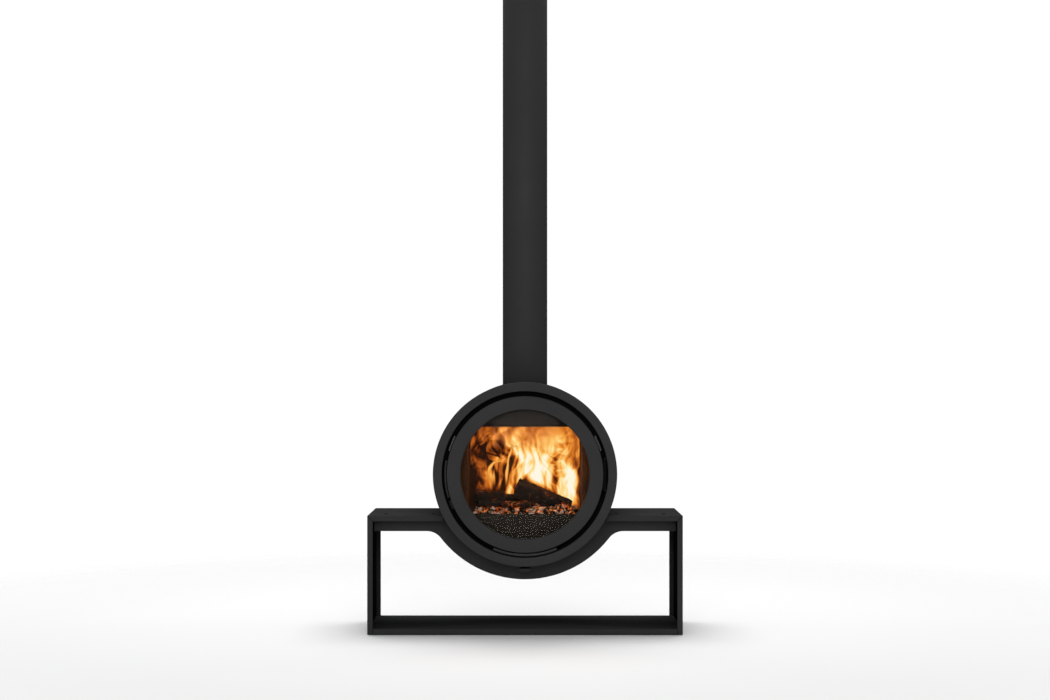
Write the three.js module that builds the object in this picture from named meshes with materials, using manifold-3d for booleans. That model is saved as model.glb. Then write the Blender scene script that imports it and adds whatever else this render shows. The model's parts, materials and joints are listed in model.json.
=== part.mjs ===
// A round wood burning stove that lies in the cradle of a low sheet-steel bench, with its flue pipe.
// Millimetres. +X is right, +Y is back, +Z is up. The origin is on the floor, below the middle of the object.
import * as THREE from "three";
import { mergeVertices } from "three/addons/utils/BufferGeometryUtils.js";
import Module from "manifold-3d";

const wasm = await Module();
wasm.setup();

// ---- driving dimensions -------------------------------------------------------------------------
const GAP = 0.3;                // clearance between pieces that touch
const SHEET = 3;                // steel sheet of the bench and the casing
const ROUND = 72;               // segments of the large visible rounds
const INNER_ROUND = 48;         // segments of the rounds inside
const SMALL_ROUND = 20;         // segments of knobs, pins and feet
const SEAL_ROUND = 60;          // segments of the glass, its frame and the rope

const AXIS_Z = 530;             // height of the drum's axis
const DRUM_R = 300;
const FRONT_Y = -200;           // face of the front ring and the door
const BACK_Y = 200;

const RING_INNER_R = 271;
const RING_THICK = 8;
const RING_LIP = 32;            // depth of the slot's outer wall
const DOOR_R = 254.6;
const WINDOW_R = 210;

const BENCH_W = 1035;
const BENCH_H = 392;
const BENCH_FRONT = -150;
const BENCH_BACK = 195;
const SECTION = 18;             // visible width of every folded bench panel
const BENCH_LIFT = 2;           // the feet hold the panels this far off the floor
const TOP_INNER_X = 267.5;      // the top panels stop here, beside the drum

const FLUE_R = 75;
const FLUE_WALL = 2;
const FLUE_Y = 23;
const FLUE_TOP = 2300;

const APRON_EDGE_Z = 337.6;     // straight lower edge of the aprons
const CRADLE_R = 351.6;         // round lower edge of the aprons
const APRON_FILLET = 60;
const FRONT_APRON_Y = -102;
const REAR_APRON_Y = 186;

const FRONT_PLATE_Y = -164;     // front wall of the firebox
const FRONT_PLATE_T = 4;
const FIREBOX_R = 270;
const FIREBOX_WALL = 4;
const FIREBOX_BACK = 150;
const MOUTH_R = 226;

const PANEL_Y = -156;           // the two panels behind the glass
const PANEL_T = 6;
const PANEL_R = 262;
const DEFLECTOR_UP = 162;       // above the axis
const GUARD_DOWN = 131.4;       // below the axis

const CHAMBER_X = 188;          // half width between the side bricks
const BRICK = 25;
const CHAMBER_TOP = 152.5;      // above the axis
const FLOOR_DOWN = 145;         // below the axis
const FLOOR_BRICK = 20;
const GRATE_X = 85;
const GRATE_Y = [-85, 75];

const HINGE_X = 260.5;
const HINGE_Y = -195;
const KNUCKLE_R = 5;
const PIN_R = 2.5;

const KNOB_Y = -158;
const KNOB_TRAVEL = 33;
const NECK_R = 13;
const KNOB_R = 21;
const KNOB_Z = [210.5, 222.5];  // the knob's disc

const BRACKET_HALF = 18;        // half height of the fixed hinge part
const LEAF_H = 31.5;            // height of each hinge leaf on the door
const PIN_HALF = 54;

const SLOT_STEP = 16.5;         // spacing of the grate's slots
const SLOT_HALF = 4;
const GRATE_RIM = 14;           // solid border before and behind the slots

const LOUVRES = 5;
const LOUVRE_STEP = 22;
const LOUVRE_H = 8;

const BRICK_BACK_Y = FIREBOX_BACK - FIREBOX_WALL - GAP;
const BRICK_FRONT_Y = PANEL_Y + PANEL_T + GAP;

// ---- geometry helpers ---------------------------------------------------------------------------
function closedGeometry(geometry) {
  const bare = geometry.clone();
  bare.deleteAttribute("normal");
  bare.deleteAttribute("uv");
  const merged = mergeVertices(bare, 1e-4);
  const index = merged.index.array;
  const kept = [];
  for (let i = 0; i < index.length; i += 3) {
    const [a, b, c] = [index[i], index[i + 1], index[i + 2]];
    if (a !== b && b !== c && c !== a) kept.push(a, b, c);
  }
  if (signedVolume(merged.attributes.position, kept) < 0) kept.reverse();
  merged.setIndex(kept);
  return merged;
}

function signedVolume(position, index) {
  const a = new THREE.Vector3();
  const b = new THREE.Vector3();
  const c = new THREE.Vector3();
  let sum = 0;
  for (let i = 0; i < index.length; i += 3) {
    a.fromBufferAttribute(position, index[i]);
    b.fromBufferAttribute(position, index[i + 1]);
    c.fromBufferAttribute(position, index[i + 2]);
    sum += a.dot(b.cross(c)) / 6;
  }
  return sum;
}

function solid(geometry) {
  const closed = closedGeometry(geometry);
  const mesh = new wasm.Mesh({
    numProp: 3,
    vertProperties: new Float32Array(closed.attributes.position.array),
    triVerts: new Uint32Array(closed.index.array),
  });
  return new wasm.Manifold(mesh);
}

function geometryOf(manifold) {
  const mesh = manifold.getMesh();
  const geometry = new THREE.BufferGeometry();
  geometry.setAttribute("position", new THREE.BufferAttribute(mesh.vertProperties, 3));
  geometry.setIndex(new THREE.BufferAttribute(mesh.triVerts, 1));
  geometry.computeVertexNormals();
  return geometry;
}

const join = (...pieces) => geometryOf(pieces.map(solid).reduce((a, b) => a.add(b)));
const cut = (body, ...tools) => geometryOf(tools.map(solid).reduce((a, b) => a.subtract(b), solid(body)));
const common = (a, b) => geometryOf(solid(a).intersect(solid(b)));

function box([x0, x1], [y0, y1], [z0, z1]) {
  const geometry = new THREE.BoxGeometry(x1 - x0, y1 - y0, z1 - z0);
  return geometry.translate((x0 + x1) / 2, (y0 + y1) / 2, (z0 + z1) / 2);
}

// A turned piece about the drum's axis, from a profile of [radius, y] points.
function turned(profile, segments = ROUND) {
  const points = profile.map(([r, y]) => new THREE.Vector2(r, y));
  if (profile[0][0] > 0) points.push(points[0].clone());
  return closedGeometry(new THREE.LatheGeometry(points, segments)).translate(0, 0, AXIS_Z);
}

// A turned piece about a vertical axis, from a profile of [radius, z] points.
function turnedUpright(profile, x, y, segments = SMALL_ROUND) {
  const points = profile.map(([r, z]) => new THREE.Vector2(r, z));
  if (profile[0][0] > 0) points.push(points[0].clone());
  return closedGeometry(new THREE.LatheGeometry(points, segments)).rotateX(Math.PI / 2).translate(x, y, 0);
}

const disc = (r, [y0, y1], segments = INNER_ROUND) => turned([[0, y0], [r, y0], [r, y1], [0, y1]], segments);
const ring = (r0, r1, [y0, y1], segments) => turned([[r0, y0], [r1, y0], [r1, y1], [r0, y1]], segments);

function post(r, [z0, z1], x, y, segments) {
  return turnedUpright([[0, z0], [r, z0], [r, z1], [0, z1]], x, y, segments);
}

function polygon(points) {
  return new THREE.Shape(points.map(([a, b]) => new THREE.Vector2(a, b)));
}

// A shape drawn in x and z, extruded from y0 to y1.
function slab(shape, [y0, y1], curveSegments = 48) {
  const settings = { depth: y1 - y0, bevelEnabled: false, curveSegments };
  return new THREE.ExtrudeGeometry(shape, settings).rotateX(Math.PI / 2).translate(0, y1, 0);
}

// A shape drawn in x and y, extruded from z0 to z1.
function column(shape, [z0, z1]) {
  return new THREE.ExtrudeGeometry(shape, { depth: z1 - z0, bevelEnabled: false }).translate(0, 0, z0);
}

// A shape drawn in y and z, extruded from x0 to x1.
function beam(shape, [x0, x1]) {
  const geometry = new THREE.ExtrudeGeometry(shape, { depth: x1 - x0, bevelEnabled: false });
  const [x, y, z] = [[1, 0, 0], [0, 1, 0], [0, 0, 1]].map((v) => new THREE.Vector3(...v));
  return geometry.applyMatrix4(new THREE.Matrix4().makeBasis(y, z, x)).translate(x0, 0, 0);
}

// A piece of a ring about the drum's axis. Angles are in degrees, from the right, over the top.
function arcPiece([r0, r1], [a0, a1], [y0, y1], curveSegments = 16) {
  const [start, end] = [THREE.MathUtils.degToRad(a0), THREE.MathUtils.degToRad(a1)];
  const shape = new THREE.Shape();
  shape.absarc(0, 0, r1, start, end, false);
  shape.absarc(0, 0, r0, end, start, true);
  return slab(shape, [y0, y1], curveSegments).translate(0, 0, AXIS_Z);
}

const mirrored = (geometry) => closedGeometry(geometry.clone().scale(-1, 1, 1));

// ---- materials ----------------------------------------------------------------------------------
function finish(color, roughness, metalness) {
  return new THREE.MeshStandardMaterial({ color, roughness, metalness });
}

const steel = finish(0x343435, 0.55, 0.3);
const benchSteel = finish(0x2e2e2f, 0.55, 0.3);
const blackSteel = finish(0x141414, 0.7, 0.3);
const castIron = finish(0x26241f, 0.8, 0.4);
const brownPanel = finish(0x262220, 0.85, 0.0);
const vermiculite = finish(0xa98c66, 0.95, 0.0);
const zinc = finish(0x8d8f92, 0.4, 0.9);
const rope = finish(0x2b2a28, 0.95, 0.0);
const clear = new THREE.MeshStandardMaterial({
  color: 0x3a3530, roughness: 0.05, metalness: 0, transparent: true, opacity: 0.35,
});
const padPlastic = finish(0x101010, 0.8, 0.0);

const group = new THREE.Group();

function add(name, geometry, material) {
  const mesh = new THREE.Mesh(closedGeometry(geometry), material);
  mesh.name = name;
  group.add(mesh);
}

// ---- bench --------------------------------------------------------------------------------------
const HALF_W = BENCH_W / 2;
const INSIDE_X = HALF_W - SECTION;

// Everything above the mitre at the left upper corner, shifted along the seam's normal.
function aboveMitre(shift) {
  const line = (x) => -x - HALF_W + BENCH_H + shift;
  const [outer, inner] = [-HALF_W - 20, -TOP_INNER_X + 10];
  const top = BENCH_H + 60;
  return slab(polygon([[outer, line(outer)], [inner, line(inner)], [inner, top], [outer, top]]),
    [BENCH_FRONT - 10, BENCH_BACK + 10]);
}

// A sheet folded to a shallow channel: outer skin at coordinate a, flanges reaching to b.
function channelOutline(a, b) {
  const skin = a + Math.sign(b - a) * SHEET;
  return [
    [a, BENCH_FRONT], [b, BENCH_FRONT], [b, BENCH_FRONT + SHEET], [skin, BENCH_FRONT + SHEET],
    [skin, BENCH_BACK - SHEET], [b, BENCH_BACK - SHEET], [b, BENCH_BACK], [a, BENCH_BACK],
  ];
}

function sidePanel() {
  const outline = channelOutline(-HALF_W, -INSIDE_X);
  return cut(column(polygon(outline), [BENCH_LIFT, BENCH_H]), aboveMitre(-GAP / 2));
}

const swapped = (outline) => outline.map(([a, b]) => [b, a]);

function topPanel() {
  const outline = swapped(channelOutline(BENCH_H, BENCH_H - SECTION));
  return common(beam(polygon(outline), [-HALF_W, -TOP_INNER_X]), aboveMitre(GAP / 2));
}

// The bottom panel's skin reaches on into the open channels of the side panels.
function bottomPanel() {
  const top = BENCH_LIFT + SECTION;
  const folded = beam(polygon(swapped(channelOutline(top, BENCH_LIFT))), [-INSIDE_X + GAP, INSIDE_X - GAP]);
  const tongueX = HALF_W - SHEET - GAP;
  const tongueY = [BENCH_FRONT + SHEET + GAP, BENCH_BACK - SHEET - GAP];
  return join(folded, box([-tongueX, tongueX], tongueY, [top - SHEET, top]));
}

// A plate with straight wings and a round cradle between them, cut out for the drum.
function apron(y) {
  const wingX = INSIDE_X - 1.5;
  const wingTop = BENCH_H - SHEET - GAP;
  const filletZ = APRON_EDGE_Z - APRON_FILLET;
  const reach = CRADLE_R + APRON_FILLET;
  const filletX = Math.sqrt(reach ** 2 - (AXIS_Z - filletZ) ** 2);
  const turn = Math.atan2(AXIS_Z - filletZ, filletX);
  const shape = new THREE.Shape();
  shape.moveTo(-wingX, wingTop);
  shape.lineTo(-wingX, APRON_EDGE_Z);
  shape.absarc(-filletX, filletZ, APRON_FILLET, Math.PI / 2, turn, true);
  shape.absarc(0, AXIS_Z, CRADLE_R, Math.PI + turn, 2 * Math.PI - turn, false);
  shape.absarc(filletX, filletZ, APRON_FILLET, Math.PI - turn, Math.PI / 2, true);
  shape.lineTo(wingX, APRON_EDGE_Z);
  shape.lineTo(wingX, wingTop);
  return cut(slab(shape, [y, y + SHEET], 24), disc(DRUM_R + 0.6, [y - 5, y + SHEET + 5], ROUND));
}

function addBench() {
  add("side_panel_left", sidePanel(), benchSteel);
  add("side_panel_right", mirrored(sidePanel()), benchSteel);
  add("top_panel_left", topPanel(), benchSteel);
  add("top_panel_right", mirrored(topPanel()), benchSteel);
  add("bottom_panel", bottomPanel(), benchSteel);
  add("front_apron", apron(FRONT_APRON_Y), benchSteel);
  add("rear_apron", apron(REAR_APRON_Y), benchSteel);
  const saddleY = [FRONT_APRON_Y + SHEET + GAP, REAR_APRON_Y - GAP];
  add("cradle_saddle", arcPiece([DRUM_R + 1, DRUM_R + 1 + SHEET], [222, 318], saddleY, 24), benchSteel);
  const footX = INSIDE_X - 32;
  const footHeight = BENCH_LIFT + SECTION - SHEET - GAP;
  for (const [side, x] of [["left", -footX], ["right", footX]]) {
    for (const [end, y] of [["front", BENCH_FRONT + 40], ["rear", BENCH_BACK - 40]]) {
      add(`foot_${end}_${side}`, post(20, [0, footHeight], x, y), padPlastic);
    }
  }
}

// ---- drum ---------------------------------------------------------------------------------------
function frontRing() {
  const lipY = FRONT_Y + RING_LIP;
  const backY = FRONT_Y + RING_THICK;
  return turned([
    [RING_INNER_R + 1, FRONT_Y], [DRUM_R - 1, FRONT_Y], [DRUM_R, FRONT_Y + 1], [DRUM_R, backY],
    [RING_INNER_R + SHEET, backY], [RING_INNER_R + SHEET, lipY], [RING_INNER_R, lipY],
    [RING_INNER_R, FRONT_Y + 1],
  ]);
}

function outerCasing() {
  const tube = ring(DRUM_R - SHEET, DRUM_R, [FRONT_Y + RING_THICK + GAP, BACK_Y], ROUND);
  const flueHole = post(FLUE_R + 0.6, [AXIS_Z, AXIS_Z + DRUM_R + 20], 0, FLUE_Y, 48);
  const slotEnd = KNOB_Y + KNOB_TRAVEL + NECK_R + 1.5;
  const knobSlot = box([-NECK_R - 1.5, NECK_R + 1.5], [KNOB_Y - NECK_R - 1.5, slotEnd], [200, 260]);
  return cut(tube, flueHole, knobSlot);
}

function rearPanel() {
  const plateY = [BACK_Y - 6, BACK_Y - SHEET];
  const through = [plateY[0] - 5, plateY[1] + 5];
  const louvres = [];
  for (let i = 0; i < LOUVRES; i += 1) {
    const z = AXIS_Z + 130 + i * LOUVRE_STEP;
    const half = 120 - i * 12;
    louvres.push(box([-half, half], through, [z, z + LOUVRE_H]));
  }
  const inlet = box([-38, 38], through, [AXIS_Z - 290, AXIS_Z - 275]);
  return cut(disc(DRUM_R - SHEET - GAP, plateY), ...louvres, inlet);
}

function fireboxShell() {
  const inner = FIREBOX_R - FIREBOX_WALL;
  const frontY = FRONT_PLATE_Y + FRONT_PLATE_T + GAP;
  const backY = FIREBOX_BACK - FIREBOX_WALL;
  const shell = turned([
    [0, FIREBOX_BACK], [FIREBOX_R, FIREBOX_BACK], [FIREBOX_R, frontY], [inner, frontY],
    [inner, backY], [0, backY],
  ], INNER_ROUND);
  const flueHole = post(FLUE_R - FLUE_WALL - GAP, [AXIS_Z, AXIS_Z + DRUM_R], 0, FLUE_Y, 48);
  return cut(shell, flueHole, airPort());
}

// The port in the bottom of the firebox, below the grate, that the air slide covers.
function airPort() {
  return box([-30, 30], [-88, -50], [AXIS_Z - FIREBOX_R - 8, AXIS_Z - FIREBOX_R + 20]);
}

function fireboxFront() {
  const plate = ring(MOUTH_R, DRUM_R - SHEET - GAP, [FRONT_PLATE_Y, FRONT_PLATE_Y + FRONT_PLATE_T], ROUND);
  const notch = box([-NECK_R - 1, NECK_R + 1], [FRONT_PLATE_Y - 5, FRONT_PLATE_Y + 10], [220, 256.5]);
  return cut(plate, notch);
}

// A panel behind the glass: the part of a disc above or below a straight edge.
function glassPanel(edgeZ, sign) {
  const farZ = AXIS_Z + sign * (PANEL_R + 5);
  const z = [Math.min(edgeZ, farZ), Math.max(edgeZ, farZ)];
  const half = box([-PANEL_R, PANEL_R], [PANEL_Y - 1, PANEL_Y + PANEL_T + 1], z);
  return common(disc(PANEL_R, [PANEL_Y, PANEL_Y + PANEL_T]), half);
}

function addDrum() {
  add("front_ring", frontRing(), steel);
  add("outer_casing", outerCasing(), steel);
  add("rear_panel", rearPanel(), steel);
  add("heat_shield", disc(PANEL_R, [FIREBOX_BACK + 14, FIREBOX_BACK + 16], 48), zinc);
  add("firebox_shell", fireboxShell(), blackSteel);
  add("firebox_front", fireboxFront(), blackSteel);
  add("air_wash_deflector", glassPanel(AXIS_Z + DEFLECTOR_UP, 1), brownPanel);
  add("log_guard", glassPanel(AXIS_Z - GUARD_DOWN, -1), brownPanel);
}

// ---- lining, grate and baffles ------------------------------------------------------------------
function grate() {
  const [y0, y1] = [GRATE_Y[0] + GAP, GRATE_Y[1] - GAP];
  const z = [AXIS_Z - FLOOR_DOWN - FLOOR_BRICK + GAP, AXIS_Z - FLOOR_DOWN - 2];
  const plate = box([-GRATE_X + GAP, GRATE_X - GAP], [y0, y1], z);
  const slots = [];
  const through = [z[0] - 5, z[1] + 5];
  for (let i = -4; i <= 4; i += 1) {
    const x = [i * SLOT_STEP - SLOT_HALF, i * SLOT_STEP + SLOT_HALF];
    slots.push(box(x, [y0 + GRATE_RIM, -9], through), box(x, [-1, y1 - GRATE_RIM], through));
  }
  return cut(plate, ...slots);
}

function ashPan() {
  const wall = 1.5;
  const [x, y0, y1] = [100, -115, 105];
  const [z0, z1] = [AXIS_Z - 245, AXIS_Z - 180];
  const hollow = box([-x + wall, x - wall], [y0 + wall, y1 - wall], [z0 + wall, z1 + 5]);
  return cut(box([-x, x], [y0, y1], [z0, z1]), hollow);
}

function addLining() {
  const wallZ = [AXIS_Z - FLOOR_DOWN + GAP, AXIS_Z + CHAMBER_TOP - GAP];
  const sideY = [BRICK_FRONT_Y, BRICK_BACK_Y];
  const side = box([CHAMBER_X, CHAMBER_X + BRICK], sideY, wallZ);
  add("firebrick_right", side, vermiculite);
  add("firebrick_left", mirrored(side), vermiculite);
  const back = box([GAP / 2, CHAMBER_X - GAP], [BRICK_BACK_Y - BRICK, BRICK_BACK_Y], wallZ);
  add("firebrick_back_right", back, vermiculite);
  add("firebrick_back_left", mirrored(back), vermiculite);

  const floorZ = [AXIS_Z - FLOOR_DOWN - FLOOR_BRICK, AXIS_Z - FLOOR_DOWN];
  const floor = box([GRATE_X + GAP, CHAMBER_X + 16], sideY, floorZ);
  add("floor_brick_right", floor, vermiculite);
  add("floor_brick_left", mirrored(floor), vermiculite);
  add("floor_brick_front", box([-GRATE_X, GRATE_X], [sideY[0], GRATE_Y[0]], floorZ), vermiculite);
  add("floor_brick_rear", box([-GRATE_X, GRATE_X], [GRATE_Y[1], sideY[1]], floorZ), vermiculite);

  const plateZ = [floorZ[0] - GAP - SHEET, floorZ[0] - GAP];
  const ashHole = box([-75, 75], [GRATE_Y[0] + 10, GRATE_Y[1] - 10], [plateZ[0] - 5, plateZ[1] + 5]);
  add("floor_plate", cut(box([-200, 200], sideY, plateZ), ashHole), blackSteel);
  add("grate", grate(), castIron);
  add("ash_pan", ashPan(), blackSteel);

  const baffleTop = AXIS_Z + CHAMBER_TOP + 15;
  add("baffle_lower", box([-195, 195], [-110, BRICK_BACK_Y], [AXIS_Z + CHAMBER_TOP, baffleTop]), vermiculite);
  const upperY = [BRICK_FRONT_Y, 60];
  const hood = box([-160, 160], upperY, [baffleTop + GAP, baffleTop + 40]);
  const under = box([-157, 157], [upperY[0] - 5, upperY[1] + 5], [baffleTop - 5, baffleTop + 37]);
  add("baffle_upper", cut(hood, under), blackSteel);
}

// ---- flue ---------------------------------------------------------------------------------------
function addFlue() {
  const inner = FLUE_R - FLUE_WALL - 0.6;
  const shelf = AXIS_Z + FIREBOX_R + GAP;
  add("flue_spigot", turnedUpright([
    [inner - 3.4, AXIS_Z + 252], [inner, AXIS_Z + 252], [inner, shelf], [inner + 8, shelf],
    [inner + 8, shelf + 4], [inner, shelf + 4], [inner, shelf + 66], [inner - 3.4, shelf + 66],
  ], 0, FLUE_Y, 48), castIron);
  const foot = shelf + 4 + GAP;
  add("flue_pipe", turnedUpright([
    [FLUE_R - FLUE_WALL, foot], [FLUE_R, foot], [FLUE_R, FLUE_TOP], [FLUE_R - FLUE_WALL, FLUE_TOP],
  ], 0, FLUE_Y, 64), steel);
}

// ---- combustion air -----------------------------------------------------------------------------
const BOTTOM = 270;             // direction of the lowest point, in degrees

function airDuct() {
  const y = [-98, BACK_Y - 6 - GAP];
  const [inner, outer] = [FIREBOX_R + 0.4, DRUM_R - SHEET - 2];
  const wall = 2;
  const outside = arcPiece([inner, outer], [BOTTOM - 18, BOTTOM + 18], y);
  const hollowR = [inner + wall, outer - wall];
  const inside = arcPiece(hollowR, [BOTTOM - 17.5, BOTTOM + 17.5], [y[0] - 5, y[1] + 5]);
  return cut(outside, inside, airPort());
}

function airSlide() {
  const barTop = AXIS_Z - FIREBOX_R - 4.5;
  const bar = box([-12, 12], [KNOB_Y - NECK_R, -36], [barTop - 4.5, barTop]);
  const shutter = arcPiece([FIREBOX_R + 3.2, FIREBOX_R + 6], [BOTTOM - 10, BOTTOM + 10], [-95, -36], 8);
  return join(bar, shutter);
}

function airKnob() {
  const top = AXIS_Z - FIREBOX_R - 9 - GAP;
  const [low, high] = KNOB_Z;
  const r = KNOB_R;
  return turnedUpright([
    [0, low], [r - 6, low], [r - 2, low + 1.5], [r, low + 4], [r, high - 4], [r - 2, high - 1.5],
    [r - 5, high], [NECK_R, high], [NECK_R, top], [0, top],
  ], 0, KNOB_Y, SMALL_ROUND);
}

function addAir() {
  add("air_duct", airDuct(), zinc);
  add("air_slide", airSlide(), zinc);
  add("air_knob", airKnob(), steel);
}

// ---- door ---------------------------------------------------------------------------------------
const DOOR_BACK = FRONT_Y + 21.7;
const GLASS_Y = [FRONT_Y + 15.4, FRONT_Y + 19.4];
const FRAME_Y = DOOR_BACK + GAP;

function doorRing() {
  const rebateY = FRONT_Y + 13;
  const rebateR = WINDOW_R + 13.5;
  return turned([
    [WINDOW_R + 3, FRONT_Y], [DOOR_R - 1, FRONT_Y], [DOOR_R, FRONT_Y + 1], [DOOR_R, DOOR_BACK],
    [rebateR, DOOR_BACK], [rebateR, rebateY], [WINDOW_R, rebateY], [WINDOW_R, FRONT_Y + 3.5],
  ]);
}

// The sheet ring that clamps the glass and carries the rope between two lips.
function doorFrame() {
  const back = FRAME_Y + SHEET;
  const lip = back + 6;
  return turned([
    [215, GLASS_Y[1] + GAP], [222, GLASS_Y[1] + GAP], [222, FRAME_Y], [250, FRAME_Y], [250, back],
    [245.5, back], [245.5, lip], [244, lip], [244, back], [233, back], [233, lip], [231.5, lip],
    [231.5, back], [215, back],
  ], SEAL_ROUND);
}

function ropeSeal() {
  const [r, middle, y] = [5.2, 238.5, FRONT_PLATE_Y - 5.5];
  const sides = 6;
  const profile = [];
  for (let i = 0; i < sides; i += 1) {
    const angle = ((i + 0.5) * 2 * Math.PI) / sides;
    profile.push([middle + r * Math.cos(angle), y + r * Math.sin(angle)]);
  }
  return turned(profile, SEAL_ROUND);
}

function hingeLeaf([z0, z1]) {
  const knuckle = post(KNUCKLE_R, [z0, z1], HINGE_X, HINGE_Y);
  const web = box([HINGE_X - 12, HINGE_X], [HINGE_Y - 2, HINGE_Y + 5], [z0, z1]);
  const bore = post(PIN_R + GAP, [z0 - 5, z1 + 5], HINGE_X, HINGE_Y);
  const rim = disc(DOOR_R + GAP, [FRONT_Y - 10, FRONT_Y + 40], ROUND);
  return cut(join(knuckle, web), rim, bore);
}

function hingeBracket() {
  const z = [AXIS_Z - BRACKET_HALF, AXIS_Z + BRACKET_HALF];
  const knuckle = post(KNUCKLE_R, z, HINGE_X, HINGE_Y);
  const web = box([HINGE_X - 3.5, HINGE_X + 4.5], [HINGE_Y, FRONT_PLATE_Y - GAP], z);
  const bore = post(PIN_R + GAP, [z[0] - 5, z[1] + 5], HINGE_X, HINGE_Y);
  return cut(join(knuckle, web), bore);
}

function addDoor() {
  add("door_ring", doorRing(), steel);
  add("door_frame", doorFrame(), blackSteel);
  add("glass_gasket", ring(212, 222.5, [GLASS_Y[0] - 2.1, GLASS_Y[0] - GAP], SEAL_ROUND), rope);
  add("glass", disc(222.5, GLASS_Y, SEAL_ROUND), clear);
  add("rope_seal", ropeSeal(), rope);
  const near = BRACKET_HALF + 0.5;
  const far = near + LEAF_H;
  add("hinge_leaf_upper", hingeLeaf([AXIS_Z + near, AXIS_Z + far]), blackSteel);
  add("hinge_leaf_lower", hingeLeaf([AXIS_Z - far, AXIS_Z - near]), blackSteel);
  add("hinge_bracket", hingeBracket(), blackSteel);
  add("hinge_pin", post(PIN_R, [AXIS_Z - PIN_HALF, AXIS_Z + PIN_HALF], HINGE_X, HINGE_Y), zinc);
}

// ---- latch: a ring segment behind the door ring joins the grip below to the catch at the left ----
const LATCH_Y = [FRAME_Y + GAP, FRAME_Y + GAP + SHEET];
const GRIP_R = [259.5, 266.6];
const CATCH_R = [257.5, 262.5];

function latchRing() {
  const band = arcPiece([251, 254], [172, 293], LATCH_Y, 24);
  const catchTab = arcPiece([251, CATCH_R[0] - GAP], [176, 186], LATCH_Y, 4);
  const gripTab = arcPiece([251, GRIP_R[0] - GAP], [262, 278], LATCH_Y, 6);
  return join(band, catchTab, gripTab);
}

function latchBar() {
  const bar = arcPiece(CATCH_R, [170, 197], [FRONT_Y + 6, FRONT_PLATE_Y - 8.6], 12);
  const hook = arcPiece(CATCH_R, [192, 197], [FRONT_PLATE_Y - 12, FRONT_PLATE_Y - 2], 4);
  return join(bar, hook);
}

function addLatch() {
  add("latch_ring", latchRing(), zinc);
  add("latch_bar", latchBar(), blackSteel);
  const gripY = [FRONT_Y + 6, FRONT_Y + 24];
  add("door_grip", arcPiece(GRIP_R, [BOTTOM - 23, BOTTOM + 23], gripY, 24), blackSteel);
  const plateY = [FRONT_PLATE_Y - 7, FRONT_PLATE_Y - GAP];
  add("strike_plate", arcPiece([256.5, 264], [199.5, 206], plateY, 4), zinc);
  const stripY = [FRONT_PLATE_Y - 8, FRONT_PLATE_Y - GAP];
  const strip = arcPiece([256.5, 262.5], [13, 29], stripY, 8);
  add("vent_strip_right", strip, zinc);
  add("vent_strip_left", mirrored(strip), zinc);
}

addBench();
addDrum();
addLining();
addFlue();
addAir();
addDoor();
addLatch();

export default group;
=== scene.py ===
# The looks of the round wood burning stove: fine pieces, materials, the fire, floor, light and camera.
# Metres. +X is right, +Y is back, +Z is up, as in the CAD frame.
import json
import math
import random

import bmesh
import bpy
import numpy as np
from mathutils import Matrix, Vector, noise


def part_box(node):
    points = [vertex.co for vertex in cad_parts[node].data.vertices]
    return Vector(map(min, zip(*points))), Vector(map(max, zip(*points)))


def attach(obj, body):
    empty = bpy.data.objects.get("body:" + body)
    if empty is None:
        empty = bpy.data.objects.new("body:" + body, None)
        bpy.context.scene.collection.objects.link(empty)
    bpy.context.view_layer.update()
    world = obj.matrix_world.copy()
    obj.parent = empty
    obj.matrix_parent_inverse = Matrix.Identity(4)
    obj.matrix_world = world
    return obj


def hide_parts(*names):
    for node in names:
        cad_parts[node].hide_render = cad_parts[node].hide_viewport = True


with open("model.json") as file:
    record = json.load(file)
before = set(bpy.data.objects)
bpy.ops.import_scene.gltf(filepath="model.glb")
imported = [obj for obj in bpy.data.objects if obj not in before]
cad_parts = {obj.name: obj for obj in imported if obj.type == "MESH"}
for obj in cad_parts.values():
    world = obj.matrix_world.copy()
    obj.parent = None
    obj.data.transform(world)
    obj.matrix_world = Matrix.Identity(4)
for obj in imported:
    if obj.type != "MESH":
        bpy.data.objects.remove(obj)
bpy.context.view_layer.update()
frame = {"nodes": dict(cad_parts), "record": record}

SCENE = bpy.context.scene
NODES = frame["nodes"]
MM = 0.001

# ---- places taken from the frame ----------------------------------------------------------------
RING_LO, RING_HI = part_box("front_ring")
DOOR_LO, DOOR_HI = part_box("door_ring")
AXIS_Z = (RING_LO.z + RING_HI.z) / 2
DRUM_R = (RING_HI.x - RING_LO.x) / 2
DOOR_R = (DOOR_HI.x - DOOR_LO.x) / 2
FRONT_Y = RING_LO.y
DOOR_BACK = DOOR_HI.y
CHAMBER_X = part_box("firebrick_right")[0].x
CHAMBER_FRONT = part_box("firebrick_right")[0].y
FLOOR_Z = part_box("floor_brick_right")[1].z
CEILING_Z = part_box("baffle_lower")[0].z
TOP_LO, TOP_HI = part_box("top_panel_right")

RING_INNER_R = 271 * MM         # the bore of the front ring
WINDOW_R = 210 * MM             # the bore of the door ring
ROUND = 256                     # segments of the fine rounds
SHARP_ANGLE = 32                # degrees; edges sharper than this are bevelled and stay crisp


# ---- mesh helpers -------------------------------------------------------------------------------
def new_object(name, bm, materials):
    """Turns a bmesh into an object of the scene, and frees the bmesh."""
    mesh = bpy.data.meshes.new(name)
    bm.to_mesh(mesh)
    bm.free()
    obj = bpy.data.objects.new(name, mesh)
    SCENE.collection.objects.link(obj)
    for m in materials:
        mesh.materials.append(m)
    return obj


def face_outwards(bm):
    bmesh.ops.remove_doubles(bm, verts=bm.verts, dist=1e-6)
    bmesh.ops.recalc_face_normals(bm, faces=bm.faces)


def shade(obj):
    """Shades every face of a piece smooth."""
    obj.data.polygons.foreach_set("use_smooth", [True] * len(obj.data.polygons))
    obj.data.update()


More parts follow.
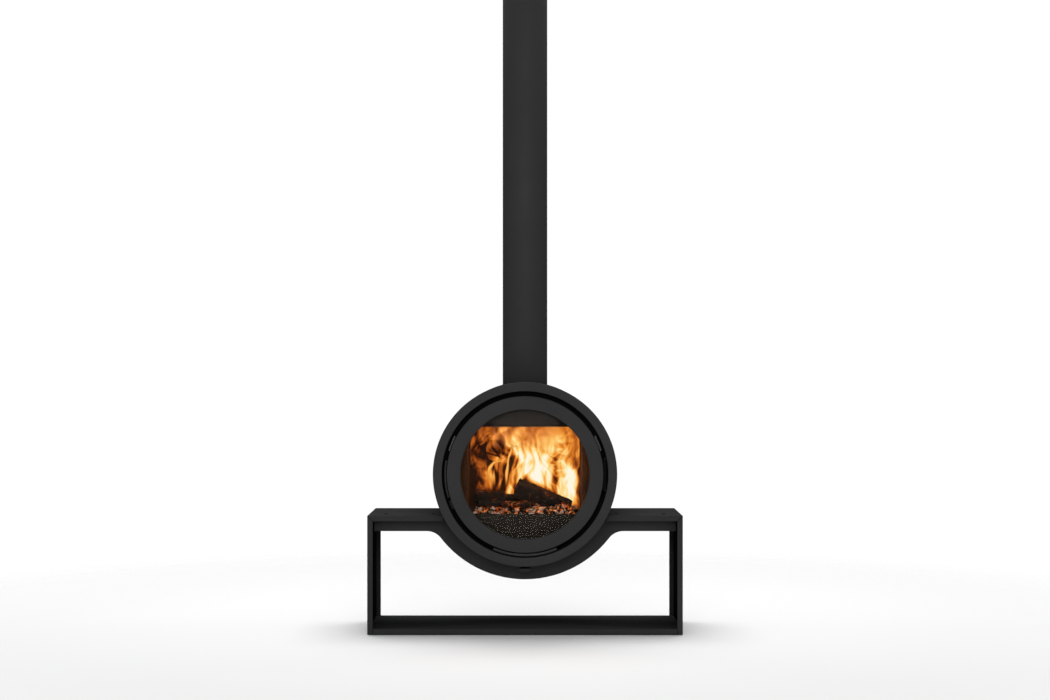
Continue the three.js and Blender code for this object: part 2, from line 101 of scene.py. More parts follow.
def rounded(profile, radii, steps=5):
    """A closed outline with its corners replaced by arcs. radii gives one radius for each corner."""
    out = []
    count = len(profile)
    for i, radius in enumerate(radii):
        here = Vector(profile[i])
        before = Vector(profile[i - 1]) - here
        after = Vector(profile[(i + 1) % count]) - here
        if radius <= 0:
            out.append(tuple(here))
            continue
        half = before.angle(after) / 2
        reach = radius / math.tan(half)
        centre = here + (before.normalized() + after.normalized()).normalized() * (radius / math.sin(half))
        start = here + before.normalized() * reach - centre
        end = here + after.normalized() * reach - centre
        opening = start.angle_signed(end)
        for k in range(steps + 1):
            turn = Matrix.Rotation(-opening * k / steps, 2)
            out.append(tuple(centre + turn @ start))
    return out


def lathe(name, profile, materials):
    """A solid of revolution about the drum's axis. profile is a closed list of (radius, y)."""
    count = len(profile)
    verts = []
    for s in range(ROUND):
        a = 2 * math.pi * s / ROUND
        verts += [(r * math.cos(a), y, AXIS_Z + r * math.sin(a)) for r, y in profile]
    faces = []
    for s in range(ROUND):
        t = (s + 1) % ROUND
        for i in range(count):
            j = (i + 1) % count
            faces.append((s * count + i, t * count + i, t * count + j, s * count + j))
    bm = bmesh.new()
    made = [bm.verts.new(v) for v in verts]
    for f in faces:
        bm.faces.new([made[i] for i in f])
    face_outwards(bm)
    return new_object(name, bm, materials)


def on_ring(radius, angle, y):
    """A point on a circle about the drum's axis. angle is in degrees, from the right, over the top."""
    a = math.radians(angle)
    return Vector((radius * math.cos(a), y, AXIS_Z + radius * math.sin(a)))


def modifier_group_smooth(limit):
    """A geometry node group that shades smooth and keeps edges sharper than limit."""
    group = bpy.data.node_groups.new(f"smooth_below_{limit}", "GeometryNodeTree")
    group.interface.new_socket("Geometry", in_out="INPUT", socket_type="NodeSocketGeometry")
    group.interface.new_socket("Geometry", in_out="OUTPUT", socket_type="NodeSocketGeometry")
    nodes, links = group.nodes, group.links
    source, sink = nodes.new("NodeGroupInput"), nodes.new("NodeGroupOutput")
    faces = nodes.new("GeometryNodeSetShadeSmooth")
    edges = nodes.new("GeometryNodeSetShadeSmooth")
    edges.domain = "EDGE"
    edges.inputs["Shade Smooth"].default_value = False
    angle = nodes.new("GeometryNodeInputMeshEdgeAngle")
    sharp = nodes.new("FunctionNodeCompare")
    sharp.operation = "GREATER_THAN"
    sharp.inputs[1].default_value = math.radians(limit)
    links.new(source.outputs[0], faces.inputs["Geometry"])
    links.new(faces.outputs[0], edges.inputs["Geometry"])
    links.new(angle.outputs["Unsigned Angle"], sharp.inputs[0])
    links.new(sharp.outputs[0], edges.inputs["Selection"])
    links.new(edges.outputs[0], sink.inputs[0])
    return group


SMOOTH = modifier_group_smooth(SHARP_ANGLE)


def soften(obj, width):
    """Rounds the edges of a piece and shades its curved faces smooth, by modifiers only."""
    weld = obj.modifiers.new("weld", "WELD")
    weld.merge_threshold = 2e-6
    if width > 0:
        bevel = obj.modifiers.new("bevel", "BEVEL")
        bevel.width = width
        bevel.segments = 2
        bevel.limit_method = "ANGLE"
        bevel.angle_limit = math.radians(SHARP_ANGLE)
        bevel.harden_normals = False
    smooth = obj.modifiers.new("smooth", "NODES")
    smooth.node_group = SMOOTH


# ---- materials ----------------------------------------------------------------------------------
class Nodes:
    """A short way to write a material's node tree."""

    def __init__(self, name):
        self.material = bpy.data.materials.new(name)
        self.material.use_nodes = True
        self.tree = self.material.node_tree
        self.tree.nodes.clear()
        self.out = self.add("ShaderNodeOutputMaterial")
        self.place = self.add("ShaderNodeTexCoord").outputs["Object"]

    def add(self, kind, **values):
        node = self.tree.nodes.new(kind)
        for key, value in values.items():
            setattr(node, key, value)
        return node

    def link(self, a, b):
        self.tree.links.new(a, b)

    def scaled(self, scale):
        """The piece's own coordinates, stretched by three factors."""
        node = self.add("ShaderNodeMapping")
        node.inputs["Scale"].default_value = scale
        self.link(self.place, node.inputs["Vector"])
        return node.outputs[0]

    def noise(self, scale, detail=3.0, roughness=0.5, distortion=0.0, vector=None):
        node = self.add("ShaderNodeTexNoise")
        node.inputs["Scale"].default_value = scale
        node.inputs["Detail"].default_value = detail
        node.inputs["Roughness"].default_value = roughness
        node.inputs["Distortion"].default_value = distortion
        self.link(vector or self.place, node.inputs["Vector"])
        return node.outputs["Fac"]

    def voronoi(self, scale):
        node = self.add("ShaderNodeTexVoronoi", feature="F1")
        node.inputs["Scale"].default_value = scale
        self.link(self.place, node.inputs["Vector"])
        return node.outputs["Distance"]

    def math(self, operation, a, b=0.0, c=0.0, clamp=False):
        node = self.add("ShaderNodeMath", operation=operation, use_clamp=clamp)
        for socket, value in zip(node.inputs, (a, b, c)):
            if isinstance(value, (int, float)):
                socket.default_value = value
            else:
                self.link(value, socket)
        return node.outputs[0]

    def ramp(self, value, stops):
        """stops is a list of (position, colour or grey)."""
        node = self.add("ShaderNodeValToRGB")
        node.color_ramp.interpolation = "LINEAR"
        elements = node.color_ramp.elements
        while len(elements) < len(stops):
            elements.new(0.5)
        for element, (position, colour) in zip(elements, stops):
            element.position = position
            grey = isinstance(colour, (int, float))
            element.color = (colour, colour, colour, 1) if grey else (*colour, 1)
        self.link(value, node.inputs["Fac"])
        return node.outputs["Color"]

    def range(self, value, low, high, to_low, to_high):
        node = self.add("ShaderNodeMapRange")
        for name, number in (("From Min", low), ("From Max", high), ("To Min", to_low), ("To Max", to_high)):
            node.inputs[name].default_value = number
        self.link(value, node.inputs["Value"])
        return node.outputs[0]

    def bump(self, height, strength, distance, onto=None):
        node = self.add("ShaderNodeBump")
        node.inputs["Strength"].default_value = strength
        node.inputs["Distance"].default_value = distance
        self.link(height, node.inputs["Height"])
        if onto:
            self.link(onto, node.inputs["Normal"])
        return node.outputs[0]

    def principled(self, **plain):
        """A Principled shader on the output. plain holds its constant values, _ standing for a space."""
        node = self.add("ShaderNodeBsdfPrincipled")
        for key, value in plain.items():
            node.inputs[key.replace("_", " ")].default_value = value
        self.link(node.outputs[0], self.out.inputs["Surface"])
        return node


def shades(grey, spread, tint):
    """Two colours around a grey, for the ends of a ramp."""
    return [tuple(grey * f * t for t in tint) for f in (1 - spread, 1 + spread)]


def painted(name, grey, roughness=0.55, specular=0.3):
    """Sprayed stove paint: a fine dry grain, slow changes of tone and of gloss."""
    n = Nodes(name)
    grain, tint = 0.12, (1.0, 1.0, 1.02)
    low, high = shades(grey, 0.10, tint)
    tone = n.ramp(n.noise(2.5, 4.0, 0.6), [(0.3, low), (0.7, high)])
    shader = n.principled(Specular_IOR_Level=specular)
    n.link(tone, shader.inputs["Base Color"])
    gloss = n.range(n.noise(9.0, 3.0), 0.3, 0.7, roughness - 0.05, roughness + 0.06)
    n.link(gloss, shader.inputs["Roughness"])
    fine = n.bump(n.noise(1400.0, 2.0), grain, 0.0002)
    n.link(n.bump(n.noise(35.0, 2.0), 0.05, 0.0006, fine), shader.inputs["Normal"])
    return n.material


def cast_iron_material():
    """Sooted cast iron: sand-cast pits and patches of ash grey."""
    n = Nodes("cast_iron_cast")
    patch = n.noise(18.0, 6.0, 0.65)
    tone = n.ramp(patch, [
        (0.35, (0.010, 0.009, 0.008)),
        (0.6, (0.035, 0.03, 0.027)),
        (0.8, (0.11, 0.10, 0.09)),
    ])
    shader = n.principled(Specular_IOR_Level=0.35, Metallic=0.3)
    n.link(tone, shader.inputs["Base Color"])
    n.link(n.range(patch, 0.3, 0.8, 0.6, 0.9), shader.inputs["Roughness"])
    n.link(n.bump(n.noise(420.0, 4.0, 0.6), 0.5, 0.0006), shader.inputs["Normal"])
    return n.material


def plated_material():
    """Zinc-plated sheet: a brushed, slightly clouded metal."""
    n = Nodes("zinc_plate")
    tone = n.ramp(n.noise(30.0, 4.0, 0.6), [(0.3, (0.30, 0.30, 0.31)), (0.7, (0.46, 0.46, 0.47))])
    shader = n.principled(Metallic=1.0)
    n.link(tone, shader.inputs["Base Color"])
    brushed = n.noise(60.0, 3.0, 0.6, vector=n.scaled((1.0, 1.0, 30.0)))
    n.link(n.range(brushed, 0.3, 0.7, 0.32, 0.5), shader.inputs["Roughness"])
    n.link(n.bump(brushed, 0.08, 0.0003), shader.inputs["Normal"])
    return n.material


def rope_material():
    """Knitted glass-fibre rope, dark with soot, with small stitches."""
    n = Nodes("rope_knit")
    stitch = n.voronoi(700.0)
    dusty = n.noise(40.0, 4.0, 0.6)
    tone = n.ramp(dusty, [(0.3, (0.018, 0.017, 0.016)), (0.75, (0.07, 0.066, 0.06))])
    shader = n.principled(Roughness=0.95, Specular_IOR_Level=0.1, Sheen_Weight=0.25)
    n.link(tone, shader.inputs["Base Color"])
    n.link(n.bump(stitch, 0.7, 0.0008), shader.inputs["Normal"])
    return n.material


def brown_panel_material():
    """Brown-black heat-proof coating with slow changes of tone."""
    n = Nodes("brown_coat")
    tone = n.ramp(n.noise(7.0, 5.0, 0.6), [
        (0.25, (0.0073, 0.0056, 0.0042)),
        (0.75, (0.0115, 0.0090, 0.0068)),
    ])
    shader = n.principled(Specular_IOR_Level=0.1)
    n.link(tone, shader.inputs["Base Color"])
    n.link(n.range(n.noise(14.0, 3.0), 0.3, 0.7, 0.6, 0.75), shader.inputs["Roughness"])
    n.link(n.bump(n.noise(900.0, 3.0), 0.2, 0.0003), shader.inputs["Normal"])
    return n.material


def brick_material():
    """Vermiculite lining, dark brown with use: flakes and rough patches."""
    n = Nodes("vermiculite_brick")
    flake = n.voronoi(260.0)
    cloud = n.noise(12.0, 5.0, 0.6)
    tone = n.ramp(cloud, [
        (0.25, (0.018, 0.007, 0.0025)),
        (0.55, (0.052, 0.022, 0.008)),
        (0.8, (0.11, 0.055, 0.022)),
    ])
    shader = n.principled(Roughness=0.95, Specular_IOR_Level=0.15)
    n.link(tone, shader.inputs["Base Color"])
    rough = n.bump(n.noise(90.0, 5.0, 0.65), 0.5, 0.002)
    n.link(n.bump(flake, 0.4, 0.0008, rough), shader.inputs["Normal"])
    return n.material


def baffle_shade_material():
    """Brick painted near-black: painted shade for the baffle plates, whose front edges lie in shadow."""
    n = Nodes("baffle_painted_shade")
    tone = n.ramp(n.noise(25.0, 5.0, 0.6), [(0.3, (0.006, 0.005, 0.0045)), (0.8, (0.030, 0.022, 0.016))])
    shader = n.principled(Roughness=1.0, Specular_IOR_Level=0.05)
    n.link(tone, shader.inputs["Base Color"])
    n.link(n.bump(n.noise(150.0, 5.0, 0.65), 0.5, 0.001), shader.inputs["Normal"])
    return n.material


def pad_material():
    """Moulded plastic of the feet, with a fine eroded grain."""
    n = Nodes("foot_plastic")
    tone = n.ramp(n.noise(60.0, 3.0), [(0.3, (0.006, 0.006, 0.006)), (0.7, (0.012, 0.012, 0.012))])
    shader = n.principled(Specular_IOR_Level=0.4)
    n.link(tone, shader.inputs["Base Color"])
    n.link(n.range(n.noise(200.0, 2.0), 0.3, 0.7, 0.6, 0.75), shader.inputs["Roughness"])
    n.link(n.bump(n.voronoi(900.0), 0.2, 0.0002), shader.inputs["Normal"])
    return n.material


def glass_material():
    """Ceramic glass: clear, faintly warm, with a soft mirror."""
    n = Nodes("ceramic_glass")
    clear = n.add("ShaderNodeBsdfTransparent")
    clear.inputs["Color"].default_value = (0.93, 0.90, 0.86, 1)
    mirror = n.add("ShaderNodeBsdfGlossy")
    mirror.inputs["Roughness"].default_value = 0.04
    fresnel = n.add("ShaderNodeFresnel")
    fresnel.inputs["IOR"].default_value = 1.12
    mix = n.add("ShaderNodeMixShader")
    n.link(fresnel.outputs[0], mix.inputs["Fac"])
    n.link(clear.outputs[0], mix.inputs[1])
    n.link(mirror.outputs[0], mix.inputs[2])
    n.link(mix.outputs[0], n.out.inputs["Surface"])
    return n.material


PAINT = painted("drum_paint", 0.0225, roughness=0.6, specular=0.14)
BENCH_PAINT = painted("bench_paint", 0.0290, roughness=0.72, specular=0.0)
BLACK = painted("black_paint", 0.0045, roughness=0.7, specular=0.0)
BRIGHT = painted("bare_steel", 0.55, roughness=0.35, specular=0.8)
IRON = cast_iron_material()
ZINC = plated_material()
ROPE = rope_material()
BROWN = brown_panel_material()
BRICK = brick_material()
PAD = pad_material()
BAFFLE_SHADE = baffle_shade_material()
GRIP = painted("grip_paint", 0.009, roughness=0.5)
STRIKE = painted("latch_paint", 0.010, roughness=0.55, specular=0.2)
GLASS = glass_material()

# each slot's material and the width of its rounded edges
SLOT_LOOKS = {
    "drum_steel": (PAINT, 0.6 * MM),
    "bench_steel": (BENCH_PAINT, 1.0 * MM),
    "black_steel": (BLACK, 0.5 * MM),
    "cast_iron": (IRON, 0.8 * MM),
    "brown_panel": (BROWN, 0.6 * MM),
    "firebrick": (BRICK, 1.5 * MM),
    "zinc_steel": (ZINC, 0.3 * MM),
    "rope": (ROPE, 0.3 * MM),
    "glass": (GLASS, 0.4 * MM),
    "foot_pad": (PAD, 0.8 * MM),
}

# nodes that don't look like the rest of their slot
OWN_LOOKS = {
    # the baffles' near-black brick is painted shade
    "baffle_lower": BAFFLE_SHADE,
    "baffle_upper": BAFFLE_SHADE,
    "door_grip": GRIP,
    "air_knob": STRIKE,
    "latch_ring": STRIKE,
    "latch_bar": STRIKE,
    "strike_plate": STRIKE,
    "hinge_pin": STRIKE,
    "vent_strip_left": BLACK,
    "vent_strip_right": BLACK,
}


def dress_cad_nodes():
    """Gives every CAD node its material and rounded edges, and paints the side panels' inner faces black as
    painted shade.
    """
    slots = {row["node"]: row["material_slot"] for row in frame["record"]["subparts"]}
    for name, obj in NODES.items():
        material, width = SLOT_LOOKS[slots[name]]
        material = OWN_LOOKS.get(name, material)
        for slot in obj.material_slots:
            slot.material = material
        soften(obj, width)
    # painted shade: black paint on the side panels' inner faces, where the inside of the bench lies in shadow
    for name, inward in (("side_panel_left", 1), ("side_panel_right", -1)):
        mesh = NODES[name].data
        mesh.materials.append(BLACK)
        for face in mesh.polygons:
            if face.normal.x * inward > 0.9:
                face.material_index = 1


# ---- camera, light and floor --------------------------------------------------------------------
def add_camera():
    """Straight in front of the stove, a little above the top of the drum."""
    data = bpy.data.cameras.new("camera")
    camera = bpy.data.objects.new("camera", data)
    SCENE.collection.objects.link(camera)
    distance, height = 6.0, 0.865
    camera.location = (0.0, FRONT_Y - distance, height)
    camera.rotation_euler = (math.radians(90), 0, 0)
    data.sensor_width = 36.0
    data.lens = 63.27
    data.shift_y = 0.0205
    SCENE.camera = camera


def add_world():
    """White for the eye; as light, a soft room that is brightest in front."""
    world = bpy.data.worlds.new("studio")
    SCENE.world = world
    world.use_nodes = True
    tree = world.node_tree
    tree.nodes.clear()

    def node(kind):
        return tree.nodes.new(kind)

    out = node("ShaderNodeOutputWorld")
    seen, light = node("ShaderNodeBackground"), node("ShaderNodeBackground")
    seen.inputs["Strength"].default_value = 1.02
    seen.inputs["Color"].default_value = (1, 1, 1, 1)
    coords, split = node("ShaderNodeTexCoord"), node("ShaderNodeSeparateXYZ")
    ramp = node("ShaderNodeValToRGB")
    to_unit = node("ShaderNodeMapRange")
    to_unit.inputs["From Min"].default_value = -1.0
    stops = ramp.color_ramp.elements
    stops[0].position, stops[0].color = 0.15, (1.0, 1.0, 1.0, 1)
    stops[1].position, stops[1].color = 0.62, (0.10, 0.10, 0.105, 1)
    path, mix = node("ShaderNodeLightPath"), node("ShaderNodeMixShader")
    links = tree.links
    links.new(coords.outputs["Generated"], split.inputs[0])
    links.new(split.outputs["Y"], to_unit.inputs["Value"])
    links.new(to_unit.outputs[0], ramp.inputs["Fac"])
    links.new(ramp.outputs["Color"], light.inputs["Color"])
    light.inputs["Strength"].default_value = 0.8
    links.new(path.outputs["Is Camera Ray"], mix.inputs["Fac"])
    links.new(light.outputs[0], mix.inputs[1])
    links.new(seen.outputs[0], mix.inputs[2])
    links.new(mix.outputs[0], out.inputs["Surface"])
    SCENE.view_settings.view_transform = "Standard"
    SCENE.cycles.transparent_max_bounces = 48


def add_area(name, place, target, size, power):
    data = bpy.data.lights.new(name, "AREA")
    data.shape = "RECTANGLE"
    data.size, data.size_y = size
    data.energy = power
    lamp = bpy.data.objects.new(name, data)
    SCENE.collection.objects.link(lamp)
    lamp.location = place
    lamp.rotation_euler = (Vector(target) - Vector(place)).to_track_quat("-Z", "Y").to_euler()


def add_lights():
    add_area("softbox_top", (0, 1.1, 4.4), (0, -0.2, 0), (4.4, 2.6), 205)
    add_area("softbox_front", (0, -6.5, 2.4), (0, 0, 1.0), (3.0, 2.0), 112)
    for side in (-1, 1):
        add_area("softbox_side", (4.0 * side, 0.2, 1.7), (0, 0, 1.2), (1.2, 3.0), 8)


def add_floor():
    """A pale floor. Away from the object it fades to see-through, so that the white world takes over."""
    bm = bmesh.new()
    half_size, fade_start, fade_end = 20.0, 1.2, 3.2
    bmesh.ops.create_grid(bm, x_segments=8, y_segments=8, size=half_size)
    n = Nodes("floor_white")
    split = n.add("ShaderNodeSeparateXYZ")
    n.link(n.place, split.inputs[0])
    across = n.math("POWER", split.outputs["X"], 2.0)
    along = n.math("POWER", split.outputs["Y"], 2.0)
    distance = n.math("SQRT", n.math("ADD", across, along))
    fade = n.add("ShaderNodeMapRange", interpolation_type="SMOOTHSTEP")
    fade.inputs["From Min"].default_value = fade_start
    fade.inputs["From Max"].default_value = fade_end
    n.link(distance, fade.inputs["Value"])
    pale = n.add("ShaderNodeBsdfDiffuse")
    n.link(n.ramp(n.noise(0.8), [(0.0, 0.81), (1.0, 0.83)]), pale.inputs["Color"])
    open_end = n.add("ShaderNodeBsdfTransparent")
    mix = n.add("ShaderNodeMixShader")
    n.link(fade.outputs[0], mix.inputs["Fac"])
    n.link(pale.outputs[0], mix.inputs[1])
    n.link(open_end.outputs[0], mix.inputs[2])
    n.link(mix.outputs[0], n.out.inputs["Surface"])
    new_object("floor", bm, [n.material])


# ---- fine rounds of the front -------------------------------------------------------------------
def add_front_ring():
    lip = RING_HI.y
    back = FRONT_Y + 8 * MM
    wall = 3 * MM
    outline = [
        (RING_INNER_R, FRONT_Y), (DRUM_R, FRONT_Y), (DRUM_R, back), (RING_INNER_R + wall, back),
        (RING_INNER_R + wall, lip), (RING_INNER_R, lip),
    ]
    radii = [1.6 * MM, 1.8 * MM, 0, 0, 0.5 * MM, 0.5 * MM]
    piece = lathe("front_ring_fine", rounded(outline, radii), [PAINT])
    soften(piece, 0)
    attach(piece, "stove")
    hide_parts("front_ring")


def add_door_ring():
    rebate_y = FRONT_Y + 13 * MM
    rebate_r = WINDOW_R + 13.5 * MM
    outline = [
        (WINDOW_R + 3 * MM, FRONT_Y), (DOOR_R, FRONT_Y), (DOOR_R, DOOR_BACK), (rebate_r, DOOR_BACK),
        (rebate_r, rebate_y), (WINDOW_R, rebate_y), (WINDOW_R, FRONT_Y + 3.5 * MM),
    ]
    radii = [0.8 * MM, 1.6 * MM, 0.5 * MM, 0.3 * MM, 0, 0.4 * MM, 0.8 * MM]
    piece = lathe("door_ring_fine", rounded(outline, radii), [PAINT])
    soften(piece, 0)
    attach(piece, "door")
    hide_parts("door_ring")


# ---- the fire -----------------------------------------------------------------------------------
# Heights in this section are above the drum's axis. A flame's heat is worked out on a grid in the
# plane of the front: each place is traced back down a swirling rise to the log that feeds it.
FLAME_X = CHAMBER_X - 2 * MM
FLAME_LOW = FLOOR_Z + 8 * MM - AXIS_Z
FLAME_HIGH = CEILING_Z - 1 * MM - AXIS_Z
COLUMNS, ROWS = 250, 196
CELL = 2 * FLAME_X / (COLUMNS - 1)
ACROSS, UP = np.meshgrid(np.linspace(-FLAME_X, FLAME_X, COLUMNS), np.linspace(FLAME_LOW, FLAME_HIGH, ROWS))


def soft_noise(rng, wide, tall):
    """Smooth noise over the grid, with features of about wide by tall cells."""
    white = rng.standard_normal((ROWS, COLUMNS))
    kx = np.fft.fftfreq(COLUMNS)[None, :] * wide
    kz = np.fft.fftfreq(ROWS)[:, None] * tall
    smooth = np.real(np.fft.ifft2(np.fft.fft2(white) * np.exp(-4.0 * (kx**2 + kz**2))))
    return (smooth - smooth.mean()) / smooth.std()


def lookup(field, column, row):
    """The field's value between its cells; it repeats sideways."""
    column = np.mod(column, COLUMNS)
    row = np.clip(row, 0, ROWS - 1.001)
    c0 = np.floor(column).astype(int) % COLUMNS
    r0 = np.floor(row).astype(int)
    fc, fr = column - np.floor(column), row - r0
    c1, r1 = (c0 + 1) % COLUMNS, r0 + 1
    low = field[r0, c0] * (1 - fc) + field[r0, c1] * fc
    high = field[r1, c0] * (1 - fc) + field[r1, c1] * fc
    return low * (1 - fr) + high * fr


def log_line(x):
    """The height at which flames leave the wood."""
    places = [-0.19, -0.10, -0.03, -0.015, 0.005, 0.155, 0.19]
    heights = [-0.050, -0.062, -0.085, -0.030, -0.010, -0.100, -0.125]
    return np.interp(x, places, heights)


def rising(seed, swirl, eddy, filament, steps=120, stride=1.7):
    """Where each cell's gas left the wood, how far it has risen, and a noise carried along with it."""
    rng = np.random.default_rng(seed)
    stream = soft_noise(rng, *eddy) * eddy[0] * 0.5
    stream = stream + soft_noise(rng, eddy[0] * 0.4, eddy[1] * 0.4) * eddy[0] * 0.11
    by_row, by_column = np.gradient(stream)
    grown = np.clip((UP - log_line(ACROSS)) / 0.10, 0.12, 1.0) * swirl
    side, climb = by_row * grown, np.maximum(1 - by_column * grown, 0.15)
    column, row = np.meshgrid(np.arange(COLUMNS, dtype=float), np.arange(ROWS, dtype=float))
    risen = np.zeros_like(column)
    flying = np.ones_like(column, bool)
    for _ in range(steps):
        back_c, back_r = lookup(side, column, row), lookup(climb, column, row)
        column = np.where(flying, column - stride * back_c, column)
        row = np.where(flying, row - stride * back_r, row)
        risen += flying * stride
        flying &= FLAME_LOW + row * CELL > log_line(column * CELL - FLAME_X)
    coarse = soft_noise(rng, *filament)
    fine = soft_noise(rng, filament[0] * 0.45, filament[1] * 0.7)
    carried = 0.85 * lookup(coarse, column, risen * 0.7) + 0.22 * lookup(fine, column, risen * 0.7)
    return column * CELL - FLAME_X, risen * CELL, carried


def blurred(field, cells):
    """The field without detail finer than about the given number of cells."""
    padded = np.pad(field, 16, mode="edge")
    kx = np.fft.fftfreq(padded.shape[1])[None, :] * cells
    kz = np.fft.fftfreq(padded.shape[0])[:, None] * cells
    return np.real(np.fft.ifft2(np.fft.fft2(padded) * np.exp(-4.0 * (kx**2 + kz**2))))[16:-16, 16:-16]


def near(value, centre, spread):
    return np.exp(-(((value - centre) / spread) ** 2))


def warped(field, seed, size, reach):
    """The field pushed about by soft noise, so that straight streaks bend and lean."""
    rng = np.random.default_rng(seed)
    column, row = np.meshgrid(np.arange(COLUMNS, dtype=float), np.arange(ROWS, dtype=float))
    return lookup(field, column + reach * soft_noise(rng, *size), row + reach * soft_noise(rng, *size))


def curtain_heat():
    """The main fire: white-hot over the right-hand log, broken tongues on the left, orange under the roof."""
    source, _, broad = rising(2, 0.95, (44, 74), (14, 58))
    _, _, thin = rising(9, 1.05, (26, 46), (7.5, 40))
    _, _, curls = rising(17, 1.25, (22, 30), (9, 24))
    broad = warped(broad, 5, (60, 50), 7)
    thin = warped(thin, 6, (34, 34), 6)
    curls = warped(curls, 7, (26, 26), 5)
    drawn = 0.6 * ACROSS + 0.4 * source.clip(-FLAME_X, FLAME_X)
    mean = np.interp(drawn, [-0.19, -0.15, -0.09, -0.02, 0.02, 0.06, 0.12, 0.17, 0.19],
                     [0.10, 0.22, 0.34, 0.44, 0.62, 0.70, 0.62, 0.54, 0.32])
    roof = np.clip((UP - 0.050) / 0.090, 0, 1)
    mean = mean * (1 - roof) + 0.350 * roof * np.interp(ACROSS, [-0.19, -0.13], [0.6, 1.0])
    mean += 0.34 * near(ACROSS, 0.050, 0.050) * near(UP, -0.025, 0.042)
    mean += 0.10 * near(ACROSS, 0.060, 0.070) * near(UP, 0.040, 0.045)
    play = np.interp(ACROSS, [-0.15, -0.04, 0.04, 0.15], [1.0, 0.85, 0.40, 0.50]) * (1 - 0.45 * roof)
    edges = 0.75 * np.exp(-((curls / 0.28) ** 2)) + 0.55 * np.exp(-((thin / 0.22) ** 2)) - 0.35
    heat = mean * (1 + play * (0.60 * broad + 0.34 * thin + 0.22 * curls + 0.75 * edges))
    dim = np.interp(UP - log_line(ACROSS), [-0.03, 0.0], [0.12, 1.0])
    return blurred(heat.clip(0.02, 1.15), 1.6) * dim


def tongue_heat(seed, feed_x, feed, height):
    """Loose tongues in front of the main fire."""
    source, risen, thin = rising(seed, 1.0, (30, 60), (7, 55))
    heat = np.interp(source, feed_x, feed) * (0.18 + 0.36 * thin) - 0.8 * (risen / height - 0.5).clip(0)
    grown = np.interp(UP - log_line(ACROSS), [-0.005, 0.045], [0.35, 1.0])
    return blurred(heat.clip(0, 0.62) * grown, 2.0)


def flame_material(name, thin, full, strength):
    """Glowing gas: its colour and how much it hides both follow the heat."""
    n = Nodes(name)
    heat = n.add("ShaderNodeAttribute", attribute_name="flame_heat").outputs["Fac"]
    flicker = n.math("MULTIPLY_ADD", n.noise(90.0, 3.0, 0.6, vector=n.scaled((1.0, 1.0, 0.3))), 0.08, -0.04)
    heat = n.math("ADD", heat, flicker)
    colour = n.ramp(heat, [
        (0.00, (0.004, 0.0015, 0.0005)), (0.12, (0.035, 0.007, 0.001)), (0.24, (0.20, 0.042, 0.005)),
        (0.36, (0.55, 0.14, 0.014)), (0.50, (0.88, 0.33, 0.045)), (0.66, (1.0, 0.62, 0.17)),
        (0.82, (1.0, 0.85, 0.45)), (1.00, (1.0, 1.0, 0.90)),
    ])
    glow = n.add("ShaderNodeEmission")
    glow.inputs["Strength"].default_value = strength
    n.link(colour, glow.inputs["Color"])
    clear = n.add("ShaderNodeBsdfTransparent")
    cover = n.add("ShaderNodeMapRange", interpolation_type="SMOOTHSTEP")
    cover.inputs["From Min"].default_value = thin
    cover.inputs["From Max"].default_value = full
    n.link(heat, cover.inputs["Value"])
    mix = n.add("ShaderNodeMixShader")
    n.link(cover.outputs[0], mix.inputs["Fac"])
    n.link(clear.outputs[0], mix.inputs[1])
    n.link(glow.outputs[0], mix.inputs[2])
    n.link(mix.outputs[0], n.out.inputs["Surface"])
    n.material.cycles.emission_sampling = "NONE"
    return n.material


def flame_sheet(name, heat, depth, relief, material, least=None):
    """A thin closed sheet of flame that bellies forward where it is hot. Colder places are cut away."""
    thick = 0.5 * MM
    bm = bmesh.new()
    layer = bm.verts.layers.float.new("flame_heat")
    belly = 12 * MM * np.cos(ACROSS / FLAME_X * math.pi / 2)
    y = depth - relief * blurred(heat, 12) - belly
    grid = []
    for r in range(ROWS):
        row = []
        for c in range(COLUMNS):
            v = bm.verts.new((ACROSS[r, c], y[r, c], AXIS_Z + UP[r, c]))
            v[layer] = heat[r, c]
            row.append(v)
        grid.append(row)
    for r in range(ROWS - 1):
        for c in range(COLUMNS - 1):
            corners = (grid[r][c], grid[r][c + 1], grid[r + 1][c + 1], grid[r + 1][c])
            if least is None or max(v[layer] for v in corners) > least:
                bm.faces.new(corners)
    bmesh.ops.delete(bm, geom=[v for v in bm.verts if not v.link_faces], context="VERTS")
    obj = new_object(name, bm, [material])
    solid = obj.modifiers.new("thickness", "SOLIDIFY")
    solid.thickness = thick
    shade(obj)
    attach(obj, "stove")


def char_material():
    """Charred wood: black cracked blocks with grey ash on the ridges and embers glowing in the cracks."""
    n = Nodes("charred_wood")
    ridge = n.add("ShaderNodeAttribute", attribute_name="ridge").outputs["Fac"]
    patch = n.noise(45.0, 5.0, 0.65)
    ash = n.math("MULTIPLY", ridge, n.range(patch, 0.45, 0.75, 0.0, 1.0), clamp=True)
    tone = n.ramp(ash, [
        (0.0, (0.006, 0.0045, 0.0035)),
        (0.45, (0.030, 0.020, 0.014)),
        (1.0, (0.22, 0.19, 0.17)),
    ])
    crack = n.range(ridge, 0.02, 0.16, 1.0, 0.0)
    alight = n.range(n.noise(22.0, 3.0), 0.50, 0.66, 0.0, 1.0)
    ember = n.math("MULTIPLY", crack, alight, clamp=True)
    shader = n.principled(Roughness=0.85, Specular_IOR_Level=0.25, Emission_Strength=1.0)
    n.link(tone, shader.inputs["Base Color"])
    n.link(n.ramp(ember, [(0.0, (0, 0, 0)), (0.4, (0.25, 0.03, 0.002)), (1.0, (1.0, 0.28, 0.03))]),
           shader.inputs["Emission Color"])
    n.link(n.bump(n.noise(260.0, 5.0, 0.7), 0.6, 0.0012), shader.inputs["Normal"])
    return n.material


